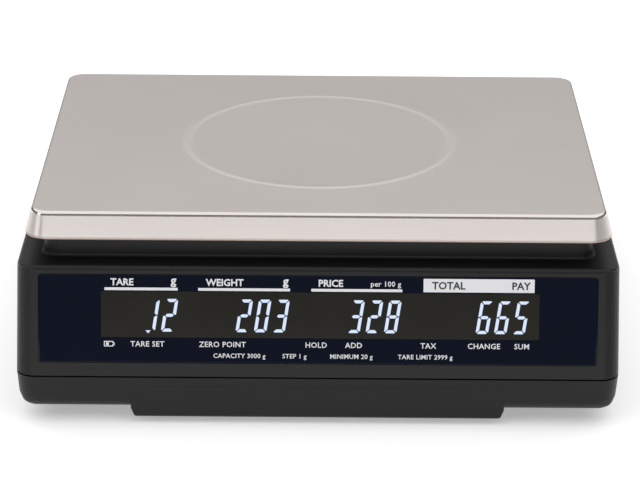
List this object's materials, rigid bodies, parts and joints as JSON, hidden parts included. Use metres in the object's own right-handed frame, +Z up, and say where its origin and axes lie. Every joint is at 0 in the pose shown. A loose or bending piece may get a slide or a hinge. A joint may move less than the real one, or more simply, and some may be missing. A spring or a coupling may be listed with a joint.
{
  "type": "counter scale",
  "caption": "Low counter scale: a rectangular pressed pan over a flat casing with a wide display in its leaning front, a sloping keyboard behind and screw feet.",
  "frame": {"origin": "on the supporting surface, under the middle of the casing", "axes": "+Z up; -Y is the customer's display side and +Y the operator's keyboard side; +X to the right as seen from the customer's side"},
  "size_m": [0.35, 0.3759, 0.123],
  "materials": {
    "black_abs": "fine-textured moulding",
    "stainless_steel": "satin pressed sheet",
    "zinc_plated_steel": "bright zinc plating",
    "die_cast_aluminium": "as cast",
    "machined_aluminium": "machined",
    "navy_printed_acrylic": "back-printed, glossy",
    "display_glass": "dark liquid-crystal glass",
    "black_rubber": "moulded",
    "grey_keycap": "two-shot keycap",
    "circuit_board": "solder mask",
    "battery_wrap": "printed wrap",
    "level_vial": "clear acrylic with tinted spirit",
    "preset_sheet": "printed polyester"
  },
  "bodies": {
    "case": {"upper_case": "black_abs", "lower_case": "black_abs", "chassis": "die_cast_aluminium", "load_cell": "machined_aluminium", "fixed_end_bolt_1": "zinc_plated_steel", "fixed_end_bolt_2": "zinc_plated_steel", "overload_stop": "zinc_plated_steel", "case_screw_1": "zinc_plated_steel", "case_screw_2": "zinc_plated_steel", "case_screw_3": "zinc_plated_steel", "case_screw_4": "zinc_plated_steel", "customer_window": "navy_printed_acrylic", "customer_lcd": "display_glass", "operator_window": "navy_printed_acrylic", "operator_lcd": "display_glass", "preset_sheet": "preset_sheet", "keypad_mat": "black_rubber", "keypad_board": "circuit_board", "main_board": "circuit_board", "bubble_level": "level_vial", "dc_socket": "black_abs", "battery_cell_1": "battery_wrap", "battery_cell_2": "battery_wrap", "battery_cell_3": "battery_wrap", "battery_cell_4": "battery_wrap", "battery_cell_5": "battery_wrap", "battery_cell_6": "battery_wrap"},
    "platform": {"pan_support": "die_cast_aluminium", "live_end_screw_1": "zinc_plated_steel", "live_end_screw_2": "zinc_plated_steel"},
    "pan": {"weighing_pan": "stainless_steel"},
    "battery_door": {"battery_door": "black_abs"},
    "foot_pad_1": {"foot_pad_1": "black_rubber"},
    "foot_stud_1": {"foot_stud_1": "black_abs"},
    "foot_pad_2": {"foot_pad_2": "black_rubber"},
    "foot_stud_2": {"foot_stud_2": "black_abs"},
    "foot_pad_3": {"foot_pad_3": "black_rubber"},
    "foot_stud_3": {"foot_stud_3": "black_abs"},
    "foot_pad_4": {"foot_pad_4": "black_rubber"},
    "foot_stud_4": {"foot_stud_4": "black_abs"},
    "key_0": {"key_0": "grey_keycap"},
    "key_00": {"key_00": "grey_keycap"},
    "key_1": {"key_1": "grey_keycap"},
    "key_2": {"key_2": "grey_keycap"},
    "key_3": {"key_3": "grey_keycap"},
    "key_4": {"key_4": "grey_keycap"},
    "key_5": {"key_5": "grey_keycap"},
    "key_6": {"key_6": "grey_keycap"},
    "key_7": {"key_7": "grey_keycap"},
    "key_8": {"key_8": "grey_keycap"},
    "key_9": {"key_9": "grey_keycap"},
    "key_add": {"key_add": "grey_keycap"},
    "key_clear": {"key_clear": "grey_keycap"},
    "key_deposit": {"key_deposit": "grey_keycap"},
    "key_light": {"key_light": "grey_keycap"},
    "key_power": {"key_power": "grey_keycap"},
    "key_tare": {"key_tare": "grey_keycap"},
    "key_tax": {"key_tax": "grey_keycap"},
    "key_total": {"key_total": "grey_keycap"},
    "key_zero": {"key_zero": "grey_keycap"}
  },
  "joints": [
    {"name": "load_deflection", "type": "slide", "parent": "case", "child": "platform", "axis": [0, 0, 1], "range_m": [-0.0005, 0], "stiffness_N_per_m": 300000, "springref_m": 0.00005},
    {"name": "pan_lift", "type": "slide", "parent": "platform", "child": "pan", "axis": [0, 0, 1], "range_m": [0, 0.05]},
    {"name": "battery_door_slide", "type": "slide", "parent": "case", "child": "battery_door", "axis": [0, 1, 0], "range_m": [0, 0.075]},
    {"name": "foot_height_1", "type": "slide", "parent": "case", "child": "foot_pad_1", "axis": [0, 0, 1], "range_m": [-0.006, 0.003]},
    {"name": "foot_turn_1", "type": "hinge", "parent": "foot_pad_1", "child": "foot_stud_1", "pos_m": [-0.14, -0.14407, 0.006], "axis": [0, 0, 1], "range_deg": [-1725, 860]},
    {"name": "foot_height_2", "type": "slide", "parent": "case", "child": "foot_pad_2", "axis": [0, 0, 1], "range_m": [-0.006, 0.003]},
    {"name": "foot_turn_2", "type": "hinge", "parent": "foot_pad_2", "child": "foot_stud_2", "pos_m": [0.14, -0.14407, 0.006], "axis": [0, 0, 1], "range_deg": [-1725, 860]},
    {"name": "foot_height_3", "type": "slide", "parent": "case", "child": "foot_pad_3", "axis": [0, 0, 1], "range_m": [-0.006, 0.003]},
    {"name": "foot_turn_3", "type": "hinge", "parent": "foot_pad_3", "child": "foot_stud_3", "pos_m": [-0.14, 0.15007, 0.006], "axis": [0, 0, 1], "range_deg": [-1725, 860]},
    {"name": "foot_height_4", "type": "slide", "parent": "case", "child": "foot_pad_4", "axis": [0, 0, 1], "range_m": [-0.006, 0.003]},
    {"name": "foot_turn_4", "type": "hinge", "parent": "foot_pad_4", "child": "foot_stud_4", "pos_m": [0.14, 0.15007, 0.006], "axis": [0, 0, 1], "range_deg": [-1725, 860]},
    {"name": "key_0_press", "type": "slide", "parent": "case", "child": "key_0", "axis": [0, 0.4384, 0.8988], "range_m": [-0.0015, 0], "stiffness_N_per_m": 400, "springref_m": 0.001},
    {"name": "key_00_press", "type": "slide", "parent": "case", "child": "key_00", "axis": [0, 0.4384, 0.8988], "range_m": [-0.0015, 0], "stiffness_N_per_m": 400, "springref_m": 0.001},
    {"name": "key_1_press", "type": "slide", "parent": "case", "child": "key_1", "axis": [0, 0.4384, 0.8988], "range_m": [-0.0015, 0], "stiffness_N_per_m": 400, "springref_m": 0.001},
    {"name": "key_2_press", "type": "slide", "parent": "case", "child": "key_2", "axis": [0, 0.4384, 0.8988], "range_m": [-0.0015, 0], "stiffness_N_per_m": 400, "springref_m": 0.001},
    {"name": "key_3_press", "type": "slide", "parent": "case", "child": "key_3", "axis": [0, 0.4384, 0.8988], "range_m": [-0.0015, 0], "stiffness_N_per_m": 400, "springref_m": 0.001},
    {"name": "key_4_press", "type": "slide", "parent": "case", "child": "key_4", "axis": [0, 0.4384, 0.8988], "range_m": [-0.0015, 0], "stiffness_N_per_m": 400, "springref_m": 0.001},
    {"name": "key_5_press", "type": "slide", "parent": "case", "child": "key_5", "axis": [0, 0.4384, 0.8988], "range_m": [-0.0015, 0], "stiffness_N_per_m": 400, "springref_m": 0.001},
    {"name": "key_6_press", "type": "slide", "parent": "case", "child": "key_6", "axis": [0, 0.4384, 0.8988], "range_m": [-0.0015, 0], "stiffness_N_per_m": 400, "springref_m": 0.001},
    {"name": "key_7_press", "type": "slide", "parent": "case", "child": "key_7", "axis": [0, 0.4384, 0.8988], "range_m": [-0.0015, 0], "stiffness_N_per_m": 400, "springref_m": 0.001},
    {"name": "key_8_press", "type": "slide", "parent": "case", "child": "key_8", "axis": [0, 0.4384, 0.8988], "range_m": [-0.0015, 0], "stiffness_N_per_m": 400, "springref_m": 0.001},
    {"name": "key_9_press", "type": "slide", "parent": "case", "child": "key_9", "axis": [0, 0.4384, 0.8988], "range_m": [-0.0015, 0], "stiffness_N_per_m": 400, "springref_m": 0.001},
    {"name": "key_add_press", "type": "slide", "parent": "case", "child": "key_add", "axis": [0, 0.4384, 0.8988], "range_m": [-0.0015, 0], "stiffness_N_per_m": 400, "springref_m": 0.001},
    {"name": "key_clear_press", "type": "slide", "parent": "case", "child": "key_clear", "axis": [0, 0.4384, 0.8988], "range_m": [-0.0015, 0], "stiffness_N_per_m": 400, "springref_m": 0.001},
    {"name": "key_deposit_press", "type": "slide", "parent": "case", "child": "key_deposit", "axis": [0, 0.4384, 0.8988], "range_m": [-0.0015, 0], "stiffness_N_per_m": 400, "springref_m": 0.001},
    {"name": "key_light_press", "type": "slide", "parent": "case", "child": "key_light", "axis": [0, 0.4384, 0.8988], "range_m": [-0.0015, 0], "stiffness_N_per_m": 400, "springref_m": 0.001},
    {"name": "key_power_press", "type": "slide", "parent": "case", "child": "key_power", "axis": [0, 0.4384, 0.8988], "range_m": [-0.0015, 0], "stiffness_N_per_m": 400, "springref_m": 0.001},
    {"name": "key_tare_press", "type": "slide", "parent": "case", "child": "key_tare", "axis": [0, 0.4384, 0.8988], "range_m": [-0.0015, 0], "stiffness_N_per_m": 400, "springref_m": 0.001},
    {"name": "key_tax_press", "type": "slide", "parent": "case", "child": "key_tax", "axis": [0, 0.4384, 0.8988], "range_m": [-0.0015, 0], "stiffness_N_per_m": 400, "springref_m": 0.001},
    {"name": "key_total_press", "type": "slide", "parent": "case", "child": "key_total", "axis": [0, 0.4384, 0.8988], "range_m": [-0.0015, 0], "stiffness_N_per_m": 400, "springref_m": 0.001},
    {"name": "key_zero_press", "type": "slide", "parent": "case", "child": "key_zero", "axis": [0, 0.4384, 0.8988], "range_m": [-0.0015, 0], "stiffness_N_per_m": 400, "springref_m": 0.001}
  ],
  "couplings": [
    {"joint": "foot_height_1", "follows": "foot_turn_1", "m_per_rad": 0.00019894},
    {"joint": "foot_height_2", "follows": "foot_turn_2", "m_per_rad": 0.00019894},
    {"joint": "foot_height_3", "follows": "foot_turn_3", "m_per_rad": 0.00019894},
    {"joint": "foot_height_4", "follows": "foot_turn_4", "m_per_rad": 0.00019894}
  ]
}
